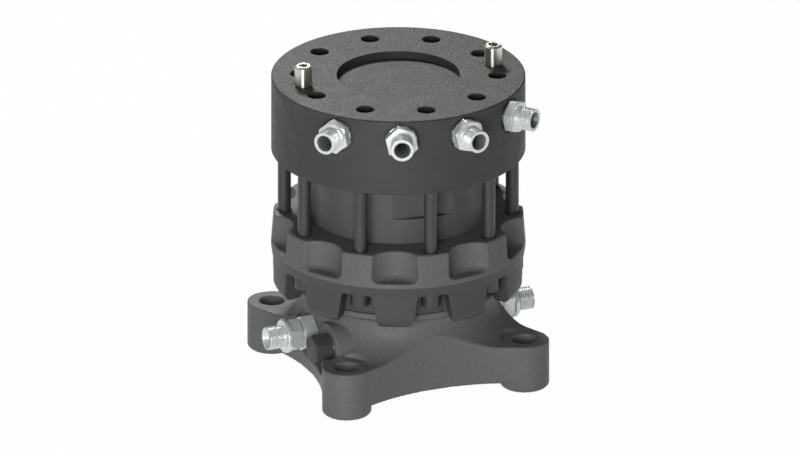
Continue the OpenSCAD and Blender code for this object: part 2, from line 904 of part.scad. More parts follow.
module cam_dowels() color([0.75, 0.75, 0.77]) rotate(housing_turn)
    at_cam_dowels()
        disc(cam_dowel_r, flange_z - cam_dowel_depth, manifold_z + cam_dowel_depth);

// A locating pin that is screwed into the top face by the socket in its chamfered end;
// its undercut neck seats in a spot face, so that a flange lies flat round it
module locating_dowel() {
    r = dowel_d / 2;
    tip_z = top_z + dowel_proud;
    difference() {
        union() {
            disc(dowel_screw_r, top_z - dowel_screw_l, top_z + over);
            disc(dowel_neck_r, top_z - dowel_spot_depth, top_z + over);
            disc(r, top_z, tip_z - dowel_chamfer);
            translate([0, 0, tip_z - dowel_chamfer])
                cylinder(r1 = r, r2 = r - dowel_chamfer, h = dowel_chamfer);
        }
        translate([0, 0, tip_z - dowel_socket_l])
            cylinder(r = dowel_socket_af / sqrt(3), h = dowel_socket_l + over, $fn = 6);
    }
}

module locating_dowels() color([0.8, 0.8, 0.8]) rotate(housing_turn)
    for (a = [0, 180])
        rotate(a)
            translate([dowel_circle_r, 0, 0])
                locating_dowel();

module tie_bolts() color([0.31, 0.31, 0.31]) rotate(housing_turn)
    at_bolts()
        translate([bolt_circle_r, 0, 0])
            cap_screw(bolt_d / 2, bolt_head_r, bolt_head_l, bolt_seat_z, manifold_z + bolt_grip);

// One port of the manifold, cut along +X: spot face, thread bore and drilling
module manifold_port() {
    radial(spot_face_r, port_seat_x, manifold_r + over, port_z);
    radial(port_thread_d / 2 + thread_gap, port_seat_x - port_bore_l, manifold_r, port_z);
    radial(gallery_r, feed_x, manifold_r, port_z);
}

// The drillings of a port that leads into a groove of the swivel spool
module swivel_feed(z) {
    translate([drill_end_x, 0, 0])
        disc(gallery_r, z, port_z);
    radial(swivel_drill_r, spool_r - over, drill_end_x, z);
}

// One tapped hole of the top face, with its chamfer
module top_hole() {
    r = top_hole_d / 2;
    translate([top_circle_d / 2, 0, 0]) {
        disc(r, top_z - top_hole_depth, top_z + over);
        translate([0, 0, top_z - top_hole_chamfer])
            cylinder(r1 = r, r2 = r + top_hole_chamfer + sliver, h = top_hole_chamfer + sliver);
    }
}

module manifold_block() color([0.36, 0.36, 0.35]) rotate(housing_turn) difference() {
    union() {
        disc(manifold_r, manifold_z + manifold_edge, top_z - manifold_edge);
        translate([0, 0, manifold_z])
            cylinder(r1 = manifold_r - manifold_edge, r2 = manifold_r, h = manifold_edge);
        translate([0, 0, top_z - manifold_edge])
            cylinder(r1 = manifold_r, r2 = manifold_r - manifold_edge, h = manifold_edge);
    }
    disc(recess_d / 2, top_z - recess_depth, top_z + over);
    disc(plate_r + press_gap, manifold_z - over, manifold_z + plate_t);
    disc(spool_r + bush_t + press_gap, manifold_z, swivel_seal_z[0] - plate_t);
    disc(spool_r + run_gap, manifold_z, spool_top_z + bolt_gap);
    ring(ring_gallery_in_r, ring_gallery_out_r, manifold_z + plate_t - over,
        manifold_z + plate_t + ring_gallery_h);
    at_bolts() {
        top_hole();
        translate([bolt_circle_r, 0, 0])
            disc(bolt_d / 2 + thread_gap, manifold_z - over, manifold_z + bolt_grip + over);
    }
    for (a = [0, 180])
        rotate(a)
            translate([dowel_circle_r, 0, 0]) {
                disc(dowel_screw_r + thread_gap, top_z - dowel_screw_l, top_z + over);
                disc(dowel_spot_r, top_z - dowel_spot_depth, top_z + over);
            }
    at_cam_dowels()
        disc(cam_dowel_r + press_gap, manifold_z - over, manifold_z + cam_dowel_depth + over);
    for (a = port_angles)
        rotate(port_middle + a)
            manifold_port();
    rotate(port_middle + port_angles[0])
        swivel_feed(swivel_groove_z[0]);
    rotate(port_middle + port_angles[3])
        swivel_feed(swivel_groove_z[1]);
    rotate(port_middle + port_angles[1])
        translate([feed_x, 0, 0])
            disc(motor_gallery_r, manifold_z + plate_t, port_z);
    motor_gallery(manifold_z + plate_t - over, port_z);
}

// One upper adapter along +X: stud, hexagon, thread relief and cone mouth
module port_adapter() {
    hex_x = port_seat_x + washer_t;
    relief_x = hex_x + port_hex_l;
    thread_x = relief_x + relief_l;
    end_x = thread_x + port_thread_l;
    thread_r = port_thread_d / 2;
    cone_l = (port_mouth_r - port_bore_r) / tan(cone_half_angle);
    difference() {
        union() {
            radial(thread_r, port_seat_x - port_stud_l, hex_x + over, port_z);
            radial_hex(port_hex, hex_x, relief_x, port_z);
            radial(thread_r - relief_depth, relief_x - over, thread_x + over, port_z);
            radial(thread_r, thread_x, end_x - thread_lead, port_z);
            radial_cone(thread_r, thread_r - thread_lead, end_x - thread_lead, end_x, port_z);
        }
        radial(port_bore_r, port_seat_x - port_stud_l - over, end_x, port_z);
        radial_cone(port_bore_r, port_mouth_r, end_x - cone_l, end_x + sliver, port_z);
    }
}

// Turns a fitting drawn along +X to one of the four ports
module at_port(i) {
    rotate(housing_turn + port_middle + port_angles[i - 1])
        children();
}

module port_adapter_1() color([0.82, 0.82, 0.8]) at_port(1) port_adapter();
module port_adapter_2() color([0.82, 0.82, 0.8]) at_port(2) port_adapter();
module port_adapter_3() color([0.82, 0.82, 0.8]) at_port(3) port_adapter();
module port_adapter_4() color([0.82, 0.82, 0.8]) at_port(4) port_adapter();

module port_seals() color([0.7, 0.7, 0.68])
    for (i = [1 : 4])
        at_port(i)
            washer(port_thread_d / 2 + oring_gap, washer_r, port_seat_x, washer_t, port_z);

manifold_block();
cam_ring();
bearing_housing();
tie_bolts();
locating_dowels();
cam_dowels();
upper_wear_plate();
lower_wear_plate();
cam_seals();
upper_bush();
lower_bush();
shaft_seal();
upper_race();
port_adapter_1();
port_adapter_2();
port_adapter_3();
port_adapter_4();
port_seals();
base_casting();
rotor_shaft();
rotor_screws();
swivel_seals();
spigot_seals();
lower_race();
dust_wiper();
base_reducer_1();
base_reducer_2();
base_adapter_1();
base_adapter_2();
reducer_seals();
adapter_seals();
base_plugs();
plug_seals();
vane_springs();
bearing_cage();
bearing_balls();
vane_1();
vane_2();
vane_3();
vane_4();
vane_5();
vane_6();
vane_7();
vane_8();
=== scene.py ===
"""Dresses the hydraulic rotator: its castings, bolts, fittings and the studio round it."""

import json
import logging
import math
from dataclasses import dataclass
from enum import Enum
from typing import Any, Optional, Sequence

import bmesh
import bpy
from mathutils import Matrix, Vector


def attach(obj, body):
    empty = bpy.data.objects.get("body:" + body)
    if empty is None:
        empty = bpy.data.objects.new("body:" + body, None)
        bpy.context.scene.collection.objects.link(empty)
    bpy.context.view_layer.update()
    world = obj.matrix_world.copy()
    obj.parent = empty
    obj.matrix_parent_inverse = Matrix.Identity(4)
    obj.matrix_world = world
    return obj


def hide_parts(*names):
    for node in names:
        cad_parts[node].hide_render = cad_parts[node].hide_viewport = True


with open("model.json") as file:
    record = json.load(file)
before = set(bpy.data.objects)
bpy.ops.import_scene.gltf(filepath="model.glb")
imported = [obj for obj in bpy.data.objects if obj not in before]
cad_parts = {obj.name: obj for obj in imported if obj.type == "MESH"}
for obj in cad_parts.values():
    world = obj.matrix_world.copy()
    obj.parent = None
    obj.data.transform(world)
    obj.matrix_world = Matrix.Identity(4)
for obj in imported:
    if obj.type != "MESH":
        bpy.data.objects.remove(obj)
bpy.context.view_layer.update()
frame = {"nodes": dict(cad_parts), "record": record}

LOG = logging.getLogger("rotator")

Tree = bpy.types.NodeTree
Socket = bpy.types.NodeSocket
Material = bpy.types.Material
Shape = bmesh.types.BMesh

MM = 0.001
IMAGE_WIDTH = 800
IMAGE_HEIGHT = 450
TAU = 2.0 * math.pi
# Slope of the cone mouths and of a hexagon's turned-off corners, which lean by 30 degrees
SLOPE = math.tan(math.radians(30.0))
# Length in millimetres by which a tool passes the shape that it cuts
OVER = 1.0
# How deep a turned body reaches into the hexagon that is joined to it, in millimetres
SINK = 0.6
# Pitch and depth of the G 1/2 threads on all six adapters, in millimetres
THREAD_PITCH = 1.814
THREAD_DEPTH = 1.16
# Radius of a hexagon's long corners, in millimetres
CORNER_RADIUS = 0.35
# Distance in millimetres below which two points are one, in a turned shape and in a CAD mesh
WELD_MM = 0.001
SEAM_MM = 0.002
# Slack in millimetres with which a point is told by its place along X or by its radius
ALONG_SLACK = 1e-6
RADIUS_SLACK = 0.01
# Detail, roughness and distortion of the noise in grain, patches and the head's top
GRAIN_NOISE = (3.0, 0.55, 0.0)
PATCH_NOISE = (4.0, 0.6, 0.0)
TOP_NOISE = (2.0, 0.5, 0.6)
# Values of the patches' noise over which the colour turns to its shade, and smooth to dull
SHADE_RANGE = (0.35, 0.7)
DULL_RANGE = (0.3, 0.7)
# Cosine between a face's normal and the rounded one, from bare face to an edge with wear and a
# painted highlight
WEAR_AND_HIGHLIGHT_RANGE = (0.995, 0.86)
# Height of a normal, from side to top
TOP_RANGE = (0.9, 0.98)
# Rays that each edge's rounding is measured with
EDGE_SAMPLES = 6


class Axis(Enum):
    """Directions that a turned piece can be spun about."""

    X = (1.0, 0.0, 0.0)
    Z = (0.0, 0.0, 1.0)


def linear(colour: str) -> tuple[float, float, float, float]:
    """Turns an sRGB hex colour into linear light.

    Args:
        colour: six hex digits after a hash sign.

    Returns:
        Red, green, blue and alpha, linear.
    """
    channels = [int(colour[i : i + 2], 16) / 255.0 for i in (1, 3, 5)]
    lit = [c / 12.92 if c <= 0.04045 else ((c + 0.055) / 1.055) ** 2.4 for c in channels]
    return (lit[0], lit[1], lit[2], 1.0)


def add_node(
    tree: Tree,
    kind: str,
    settings: Optional[dict[str, Any]] = None,
    values: Optional[dict[Any, Any]] = None,
    links: Optional[dict[Any, Socket]] = None,
) -> bpy.types.Node:
    """Adds one node with its settings, its values and what feeds it.

    Args:
        tree: the node tree that gets the node.
        kind: the node's class name.
        settings: attributes to set on the node.
        values: default values by input name or number.
        links: output sockets by the input that they feed.

    Returns:
        The new node.
    """
    node = tree.nodes.new(kind)
    for name, value in (settings or {}).items():
        setattr(node, name, value)
    for name, value in (values or {}).items():
        node.inputs[name].default_value = value
    for name, socket in (links or {}).items():
        tree.links.new(socket, node.inputs[name])
    return node


def ramp(tree: Tree, value: Socket, start: float, end: float, low: float, high: float) -> Socket:
    """Adds a node that spreads one range of a value over another.

    Args:
        tree: the node tree.
        value: the value.
        start: where its range begins.
        end: where it ends.
        low: what the beginning becomes.
        high: what the end becomes.

    Returns:
        The new value, kept between low and high.
    """
    ends = {"From Min": start, "From Max": end, "To Min": low, "To Max": high}
    node = add_node(tree, "ShaderNodeMapRange", values=ends, links={"Value": value})
    return node.outputs["Result"]


def noise(tree: Tree, place: Socket, size_mm: float, kind: Sequence[float]) -> Socket:
    """Adds a noise pattern with features of a real size.

    Args:
        tree: the node tree.
        place: the object coordinates.
        size_mm: size of its features in millimetres.
        kind: its detail, roughness and distortion.

    Returns:
        A value from 0 to 1.
    """
    values = dict(zip(("Detail", "Roughness", "Distortion"), kind))
    values["Scale"] = 1.0 / (size_mm * MM)
    node = add_node(tree, "ShaderNodeTexNoise", values=values, links={"Vector": place})
    return node.outputs["Fac"]


def blend(tree: Tree, share: Socket, first: Any, second: str) -> Socket:
    """Adds a mix of two colours.

    Args:
        tree: the node tree.
        share: how much of the second colour shows.
        first: the first colour, as sRGB hex or as a socket.
        second: the second colour, sRGB hex.

    Returns:
        The mixed colour.
    """
    values, links = {7: linear(second)}, {0: share}
    if isinstance(first, str):
        values[6] = linear(first)
    else:
        links[6] = first
    settings = {"data_type": "RGBA"}
    return add_node(tree, "ShaderNodeMix", settings, values, links).outputs[2]


@dataclass(frozen=True)
class Finish:
    """A surface finish, from its real colour, grain and edge wear, with a painted highlight on its
    edges.

    Attributes:
        name: the material's name.
        colour: main colour, sRGB hex.
        shade: the darker colour that mottles it.
        edge: colour of edges, lighter where handling has thinned the coat, and a painted highlight
            where edges catch the light.
        wear_and_highlight_share: how much of the edge colour shows on an edge, 0 to 1.
        metallic: metal share.
        roughness: middle roughness.
        roughness_swing: how far the roughness strays either way.
        grain_mm: size of the surface grain.
        grain_depth_mm: height of the grain.
        mottle_mm: size of the patches of colour.
        mottle_share: how much of the shade colour the patches show.
        edge_round_mm: radius at which edges catch the light.
        gleam: specular level of the coat, 0.5 for bare material.
        ground: how far grinding marks round the axis draw a gleam out along it, 0 to 1.
        second: colour of the part that the mask picks out, if there is one, sRGB hex; it is
            painted light or shade on that part.
    """

    name: str
    colour: str
    shade: str
    edge: str
    wear_and_highlight_share: float = 0.3
    metallic: float = 0.0
    roughness: float = 0.5
    roughness_swing: float = 0.06
    grain_mm: float = 1.0
    grain_depth_mm: float = 0.05
    mottle_mm: float = 14.0
    mottle_share: float = 0.35
    edge_round_mm: float = 0.6
    gleam: float = 0.5
    ground: float = 0.0
    second: str = ""

    def mask(self, tree: Tree, place: Socket) -> Optional[Socket]:
        """Adds a mask for the part that has the second colour, where light or shade is painted.

        Args:
            tree: the material's node tree, not used.
            place: the object coordinates, not used.

        Returns:
            A share from 0 to 1, or None where the whole finish has one colour.
        """
        return None

    def grain_height(self, tree: Tree, place: Socket) -> Socket:
        """Adds the grain's height pattern.

        Args:
            tree: the material's node tree.
            place: the object coordinates.

        Returns:
            A height from 0 to 1.
        """
        return noise(tree, place, self.grain_mm, GRAIN_NOISE)

    def material(self) -> Material:
        """Builds the material.

        Returns:
            The finished material.
        """
        made = bpy.data.materials.new(self.name)
        made.use_nodes = True
        tree = made.node_tree
        tree.nodes.clear()
        place = add_node(tree, "ShaderNodeTexCoord").outputs["Object"]
        patches = noise(tree, place, self.mottle_mm, PATCH_NOISE)
        shaded = ramp(tree, patches, *SHADE_RANGE, 0.0, self.mottle_share)
        coat = blend(tree, shaded, self.colour, self.shade)
        # The second colour paints light or shade on the masked part: a warmer top on the head,
        # shade below the housing's parting line
        mask = self.mask(tree, place)
        if mask is not None:
            coat = blend(tree, mask, coat, self.second)
        fine, edge = {"samples": EDGE_SAMPLES}, {"Radius": self.edge_round_mm * MM}
        rounded = add_node(tree, "ShaderNodeBevel", fine, edge).outputs["Normal"]
        flat = add_node(tree, "ShaderNodeNewGeometry").outputs["Normal"]
        facing = add_node(
            tree, "ShaderNodeVectorMath", {"operation": "DOT_PRODUCT"}, links={0: rounded, 1: flat}
        ).outputs["Value"]
        # Edges take the lighter edge colour: partly wear of the coat, partly a painted highlight
        wear_and_highlight = ramp(tree, facing, *WEAR_AND_HIGHLIGHT_RANGE, 0.0, self.wear_and_highlight_share)
        swing = self.roughness_swing
        smooth, dull = self.roughness - swing, self.roughness + swing
        bump = add_node(
            tree,
            "ShaderNodeBump",
            values={"Strength": 1.0, "Distance": self.grain_depth_mm * MM},
            links={"Height": self.grain_height(tree, place), "Normal": rounded},
        ).outputs["Normal"]
        shader = add_node(
            tree,
            "ShaderNodeBsdfPrincipled",
            values={
                "Metallic": self.metallic,
                "Specular IOR Level": self.gleam,
                "Anisotropic": self.ground,
            },
            links={
                "Base Color": blend(tree, wear_and_highlight, coat, self.edge),
                "Roughness": ramp(tree, patches, *DULL_RANGE, smooth, dull),
                "Normal": bump,
            },
        )
        if self.ground > 0.0:
            upright = add_node(tree, "ShaderNodeCombineXYZ", values={"Z": 1.0}).outputs[0]
            tree.links.new(upright, shader.inputs["Tangent"])
        add_node(tree, "ShaderNodeOutputMaterial", links={"Surface": shader.outputs["BSDF"]})
        return made


@dataclass(frozen=True)
class HeadFinish(Finish):
    """The head's finish: dark turned sides, and a top with a coarse rolled grain, painted a little
    warmer where the warm light from above falls.

    Attributes:
        top_grain_mm: size of the grain on faces that look up.
        top_grain_gain: how much higher that grain is than the sides'.
    """

    top_grain_mm: float = 2.2
    top_grain_gain: float = 26.0

    def mask(self, tree: Tree, place: Socket) -> Optional[Socket]:
        """Adds a mask that is 1 where the face looks up, which gets the painted warm light and the
        coarse grain.

        Args:
            tree: the material's node tree.
            place: the object coordinates, not used.

        Returns:
            A share from 0 to 1.
        """
        normal = add_node(tree, "ShaderNodeTexCoord").outputs["Normal"]
        height = add_node(tree, "ShaderNodeSeparateXYZ", links={0: normal}).outputs["Z"]
        return ramp(tree, height, *TOP_RANGE, 0.0, 1.0)

    def grain_height(self, tree: Tree, place: Socket) -> Socket:
        """Adds fine grain on the sides and coarse grain on the top.

        Args:
            tree: the material's node tree.
            place: the object coordinates.

        Returns:
            A height, higher where the face looks up.
        """
        fine = super().grain_height(tree, place)
        coarse = noise(tree, place, self.top_grain_mm, TOP_NOISE)
        times, gain = {"operation": "MULTIPLY"}, {1: self.top_grain_gain}
        raised = add_node(tree, "ShaderNodeMath", times, gain, {0: coarse}).outputs[0]
        sides = {0: self.mask(tree, place), 2: fine, 3: raised}
        return add_node(tree, "ShaderNodeMix", {"data_type": "FLOAT"}, links=sides).outputs[0]


@dataclass(frozen=True)
class ShadedBelowPartingFinish(Finish):
    """A casting painted darker below its parting line: painted shade where the lower band leans
    away from the light.

    Attributes:
        parting_mm: height of the parting line.
        parting_w: half the width over which the tone changes, in millimetres.
    """

    parting_mm: float = 121.2
    parting_w: float = 0.3

    def mask(self, tree: Tree, place: Socket) -> Optional[Socket]:
        """Adds a mask that is 1 below the parting line, where the painted shade goes.

        Args:
            tree: the material's node tree.
            place: the object coordinates.

        Returns:
            A share from 0 to 1.
        """
        height = add_node(tree, "ShaderNodeSeparateXYZ", links={0: place}).outputs["Z"]
        top = (self.parting_mm + self.parting_w) * MM
        foot = (self.parting_mm - self.parting_w) * MM
        return ramp(tree, height, top, foot, 0.0, 1.0)


# Steel under a thin dark phosphate coat: dull sides, and a top with rolled grain, painted warmer
# for the warm light falling on it
HEAD_STEEL = HeadFinish(
    "phosphated_steel_turned", "#444444", "#3d3d3d", "#555554",
    # The second colour is the painted warm light on the top
    roughness=0.55, grain_mm=0.8, grain_depth_mm=0.03, gleam=0.3, second="#464541",
)
# Sand-cast iron under a grey coat: a fine even grain that scatters the light, and painted shade
# below the parting line
HOUSING_IRON = ShadedBelowPartingFinish(
    "coated_cast_iron_housing", "#6a6c6c", "#5f6162", "#828483",
    roughness=0.5, grain_mm=1.9, grain_depth_mm=0.36, mottle_mm=2.6, mottle_share=0.7,
    # The second colour is painted shade on the band below the parting line
    edge_round_mm=1.2, gleam=0.3, second="#4a4c4b",
)
# The same iron and coat, with the rounder edges of a heavier casting
FOOT_IRON = Finish(
    "coated_cast_iron_foot", "#6e7071", "#626467", "#828483",
    roughness=0.48, grain_mm=1.9, grain_depth_mm=0.36, mottle_mm=2.6, mottle_share=0.7,
    edge_round_mm=1.5, gleam=0.3,
)
# Turned and coated alloy steel, a little smoother than the castings
DRUM_STEEL = Finish(
    "phosphated_steel_drum", "#585958", "#4e4f4e", "#686866",
    roughness=0.5, grain_mm=0.9, grain_depth_mm=0.03, gleam=0.3,
)
# Phosphated screw steel, with the soft shine of oil
BOLT_STEEL = Finish(
    "phosphated_steel_bolts", "#404241", "#383a39", "#626462",
    metallic=0.25, roughness=0.4, grain_mm=0.6, grain_depth_mm=0.01,
)
# Zinc-plated free-cutting steel, bright with a faint blue cast
ZINC_PLATE = Finish(
    "zinc_plated_steel", "#e4e7e7", "#ced3d4", "#fafcfc",
    metallic=0.4, roughness=0.28, grain_mm=0.5, grain_depth_mm=0.004, mottle_mm=6.0,
    edge_round_mm=0.25,
)
# The drilled bore, where the bath hardly plates: dull, and much darker with painted shade for the
# recess
BORE_STEEL_AND_SHADE = Finish(
    "drilled_bore_painted_shade", "#7c8080", "#6c7070", "#a0a4a4",
    metallic=0.5, roughness=0.45, grain_mm=0.5, grain_depth_mm=0.006, edge_round_mm=0.2,
)
# Zinc-plated washers, greyer than the fittings that press them
ZINC_WASHER = Finish(
    "zinc_plated_washer", "#c4c8c6", "#a4a8a8", "#e2e4e4",
    metallic=1.0, roughness=0.32, grain_mm=0.5, grain_depth_mm=0.006, mottle_mm=5.0,
    edge_round_mm=0.2,
)
# Centreless-ground dowel steel: a satin that reads almost white
GROUND_STEEL = Finish(
    "ground_dowel_steel", "#dcdad2", "#c6c4bc", "#fbfaf4",
    metallic=1.0, roughness=0.3, grain_mm=0.4, grain_depth_mm=0.002, edge_round_mm=0.3,
    ground=0.9,
)
# Black-oxide steel: nearly black, a soft sheen
BLACK_OXIDE = Finish(
    "black_oxide_steel", "#47494a", "#3c3e3f", "#66696a",
    roughness=0.5, grain_mm=0.6, grain_depth_mm=0.01, edge_round_mm=0.4, gleam=0.3,
)
# Moulded nitrile: matt black seals
NITRILE = Finish(
    "moulded_nitrile_rubber", "#1c1c1c", "#141414", "#2a2a2a",
    roughness=0.6, grain_mm=0.8, grain_depth_mm=0.01,
)
# Machined bearing bronze, yellow and softly bright
BRONZE = Finish(
    "machined_bearing_bronze", "#b98d4c", "#a27a40", "#d4ab68",
    metallic=1.0, roughness=0.34, grain_mm=0.6, grain_depth_mm=0.006,
)
# Hardened and ground bearing steel, the brightest metal inside
RACE_STEEL = Finish(
    "ground_bearing_steel", "#c4c5c8", "#b2b3b6", "#e0e1e4",
    metallic=1.0, roughness=0.18, grain_mm=0.5, grain_depth_mm=0.002,
)
# Turned shaft steel, bare and a little duller
SHAFT_STEEL = Finish(
    "turned_shaft_steel", "#aeb0b2", "#9a9c9e", "#d0d2d4",
    metallic=1.0, roughness=0.3, grain_mm=0.6, grain_depth_mm=0.005,
)
# Spring steel blued by its heat treatment
SPRING_STEEL = Finish(
    "blued_spring_steel", "#566075", "#454d60", "#8890a2",
    metallic=1.0, roughness=0.3, grain_mm=0.5, grain_depth_mm=0.003,
)
# Filled plastic of the swivel's sliding seals: ivory and matt
SEAL_PLASTIC = Finish(
    "filled_sealing_plastic", "#d6d0c0", "#c6c0b0", "#e4dfd2",
    roughness=0.5, grain_mm=0.7, grain_depth_mm=0.01,
)


# The CAD nodes that wear each finish; the fittings and castings get theirs as they are made
DRESSING = {
    HEAD_STEEL: ("manifold_block",),
    DRUM_STEEL: ("cam_ring",),
    BOLT_STEEL: ("tie_bolts",),
    ZINC_PLATE: (),
    ZINC_WASHER: ("port_seals", "reducer_seals", "adapter_seals", "plug_seals"),
    GROUND_STEEL: ("locating_dowels", "cam_dowels"),
    BLACK_OXIDE: ("rotor_screws",),
    NITRILE: ("cam_seals", "shaft_seal", "spigot_seals", "dust_wiper"),
    BRONZE: ("upper_wear_plate", "lower_wear_plate", "upper_bush", "lower_bush", "bearing_cage"),
    RACE_STEEL: (
        "upper_race", "lower_race", "bearing_balls", *(f"vane_{number}" for number in range(1, 9)),
    ),
    SHAFT_STEEL: ("rotor_shaft",),
    SPRING_STEEL: ("vane_springs",),
    SEAL_PLASTIC: ("swivel_seals",),
}


def dress(name: str, finish: Material) -> None:
    """Gives a CAD node its material.

    Args:
        name: the node.
        finish: its material.
    """
    node = frame["nodes"][name]
    node.data.materials.clear()
    node.data.materials.append(finish)
    LOG.info("dressed %s with %s", name, finish.name)


def solid_from(shape: Shape, name: str) -> bpy.types.Object:
    """Makes a bare object from a shape.

    Args:
        shape: the mesh, which is freed.
        name: the object's name.

    Returns:
        The new object, linked to the scene.
    """
    mesh = bpy.data.meshes.new(name)
    shape.to_mesh(mesh)
    shape.free()
    made = bpy.data.objects.new(name, mesh)
    bpy.context.scene.collection.objects.link(made)
    return made


def finished_piece(
    name: str, shape: Shape, finish: Material, sharp_degrees: float = 32.0
) -> bpy.types.Object:
    """Makes an object from a shape, shaded smooth up to an angle.

    Args:
        name: the object's name.
        shape: the mesh, which is freed.
        finish: its material.
        sharp_degrees: edges sharper than this stay sharp.

    Returns:
        The new object, linked to the scene.
    """
    for face in shape.faces:
        face.smooth = True
    for edge in shape.edges:
        edge.smooth = edge.calc_face_angle(0.0) < math.radians(sharp_degrees)
    piece = solid_from(shape, name)
    piece.data.materials.append(finish)
    return piece


def joined(base: Shape, other: Shape, operation: str) -> Shape:
    """Joins, cuts or intersects two closed shapes.

    Args:
        base: the first shape, which is freed.
        other: the second shape, which is freed.
        operation: UNION, DIFFERENCE or INTERSECT.

    Returns:
        The combined shape.
    """
    first = solid_from(base, "join_first")
    second = solid_from(other, "join_second")
    modifier = first.modifiers.new("join", "BOOLEAN")
    modifier.operation = operation
    modifier.solver = "MANIFOLD"
    modifier.object = second
    bpy.context.view_layer.update()
    result = bmesh.new()
    result.from_object(first, bpy.context.evaluated_depsgraph_get())
    for used in (first, second):
        mesh = used.data
        bpy.data.objects.remove(used)
        bpy.data.meshes.remove(mesh)
    return result


def turned(profile: Sequence[tuple[float, float]], steps: int, axis: Axis = Axis.X) -> Shape:
    """Spins a closed outline into a solid of revolution.

    Args:
        profile: points as distance along the axis and radius, in millimetres.
        steps: how many steps make the full turn.
        axis: the axis of the spin.

    Returns:
        The closed shape, in metres.
    """
    shape = bmesh.new()
    corners = []
    for along, radius in profile:
        point = (along, 0.0, radius) if axis is Axis.X else (radius, 0.0, along)
        corners.append(shape.verts.new(Vector(point) * MM))
    for pair in zip(corners, corners[1:] + corners[:1]):
        shape.edges.new(pair)
    bmesh.ops.spin(
        shape,
        geom=shape.verts[:] + shape.edges[:],
        cent=(0.0, 0.0, 0.0),
        axis=axis.value,
        angle=TAU,
        steps=steps,
        use_merge=True,
    )
    bmesh.ops.remove_doubles(shape, verts=shape.verts[:], dist=WELD_MM * MM)
    bmesh.ops.recalc_face_normals(shape, faces=shape.faces[:])
    return shape


def rod(start: float, end: float, radius: float, steps: int) -> Shape:
    """Makes a round rod along X.

    Args:
        start: where it begins, in millimetres along X.
        end: where it ends.
        radius: its radius.
        steps: how many steps make the full turn.

    Returns:
        The closed shape.
    """
    return turned([(start, 0.0), (start, radius), (end, radius), (end, 0.0)], steps)


@dataclass(frozen=True)
class Thread:
    """A helical G 1/2 thread on a turned piece along X.

    Attributes:
        start: where the thread begins, in millimetres along X.
        end: where it ends.
        major: its outer radius.
        lead: length of the chamfer at its free end.
        rings: mesh rings for each turn.
        crest: height of the ridge before its top is cut flat, as a share of the depth.
        flank: how steeply the ridge falls on both sides, in depths a pitch.
        run_out: how much of a pitch the ridge takes to rise at the near end.
    """

    start: float
    end: float
    major: float
    lead: float = 1.2
    rings: int = 8
    crest: float = 1.25
    flank: float = 2.75
    run_out: float = 0.6

    def stations(self) -> list[tuple[float, float]]:
        """Returns the outline's points over the threaded length."""
        length = self.end - self.start
        count = int(round(length / THREAD_PITCH * self.rings))
        return [(self.start + i * (length / count), self.major) for i in range(count + 1)]

    def cut(self, shape: Shape) -> None:
        """Moves the threaded surface's points in to the helix.

        Args:
            shape: a piece turned about X, whose outer surface has the stations.
        """
        near, far = self.start - ALONG_SLACK, self.end + ALONG_SLACK
        # The bore's points lie further in than this, and stay
        inner = (self.major - THREAD_DEPTH * 1.5) * MM
        for vert in shape.verts:
            radius = math.hypot(vert.co.y, vert.co.z)
            along = vert.co.x / MM
            if radius < inner or not near <= along <= far:
                continue
            turn = math.atan2(vert.co.z, vert.co.y) / TAU
            phase = (along / THREAD_PITCH - turn) % 1.0
            ridge = min(1.0, max(0.0, self.crest - self.flank * abs(phase - 0.5)))
            target = self.major - THREAD_DEPTH * (1.0 - ridge)
            risen = min(1.0, (along - self.start) / (self.run_out * THREAD_PITCH))
            target += (self.major - THREAD_DEPTH - target) * (1.0 - risen)
            target = min(target, self.major - self.lead + (self.end - along))
            scale = target * MM / radius
            vert.co.y *= scale
            vert.co.z *= scale


def hexagon(flats: float, start: float, end: float, chamfer: float, both: bool) -> Shape:
    """Makes a hexagon bar along X, with a corner up and its corners turned off.

    Args:
        flats: width across the flats, in millimetres.
        start: where it begins along X.
        end: where it ends.
        chamfer: how far the corners are turned down at an end.
        both: whether the near end is turned off too.

    Returns:
        The closed shape.
    """
    corner = flats / math.sqrt(3.0)
    shape = bmesh.new()
    bmesh.ops.create_cone(
        shape,
        cap_ends=True,
        segments=6,
        radius1=corner * MM,
        radius2=corner * MM,
        depth=(end - start) * MM,
        matrix=Matrix.Rotation(TAU / 12.0, 4, "X") @ Matrix.Rotation(TAU / 4.0, 4, "Y"),
    )
    middle = Vector(((start + end) / 2.0 * MM, 0.0, 0.0))
    bmesh.ops.translate(shape, verts=shape.verts[:], vec=middle)
    long_edges = [
        edge for edge in shape.edges
        if abs((edge.verts[0].co - edge.verts[1].co).normalized().x) > 0.99
    ]
    bmesh.ops.bevel(
        shape, geom=long_edges, offset=CORNER_RADIUS * MM, segments=3, profile=0.5,
        affect="EDGES", material=-1,
    )
    rise = chamfer * SLOPE
    face, wide = corner - chamfer, corner + OVER
    near = [(start - OVER, 0.0), (start - OVER, wide)]
    if both:
        near = [(start, 0.0), (start, face), (start + rise + OVER * SLOPE, wide)]
    far = [(end - rise - OVER * SLOPE, wide), (end, face), (end, 0.0)]
    return joined(shape, turned(near + far, 72), "INTERSECT")


def holed(nut: Shape, start: float, end: float, radius: float, steps: int = 48) -> Shape:
    """Drills a hole through a nut along X.

    Args:
        nut: the nut, which is freed.
        start: where it begins along X, in millimetres.
        end: where it ends.
        radius: the hole's radius.
        steps: how many steps make the full turn.

    Returns:
        The drilled shape.
    """
    return joined(nut, rod(start - OVER, end + OVER, radius, steps), "DIFFERENCE")


def with_bore(shape: Shape, mouth: float) -> Shape:
    """Gives the bore and the cone mouth of a fitting along X the second material, which is darker
    with painted shade.

    Args:
        shape: the fitting.
        mouth: radius of the mouth in millimetres.

    Returns:
        The same shape.
    """
    for face in shape.faces:
        reach = max(math.hypot(vert.co.y, vert.co.z) for vert in face.verts)
        face.material_index = 1 if reach < (mouth + RADIUS_SLACK) * MM else 0
    return shape


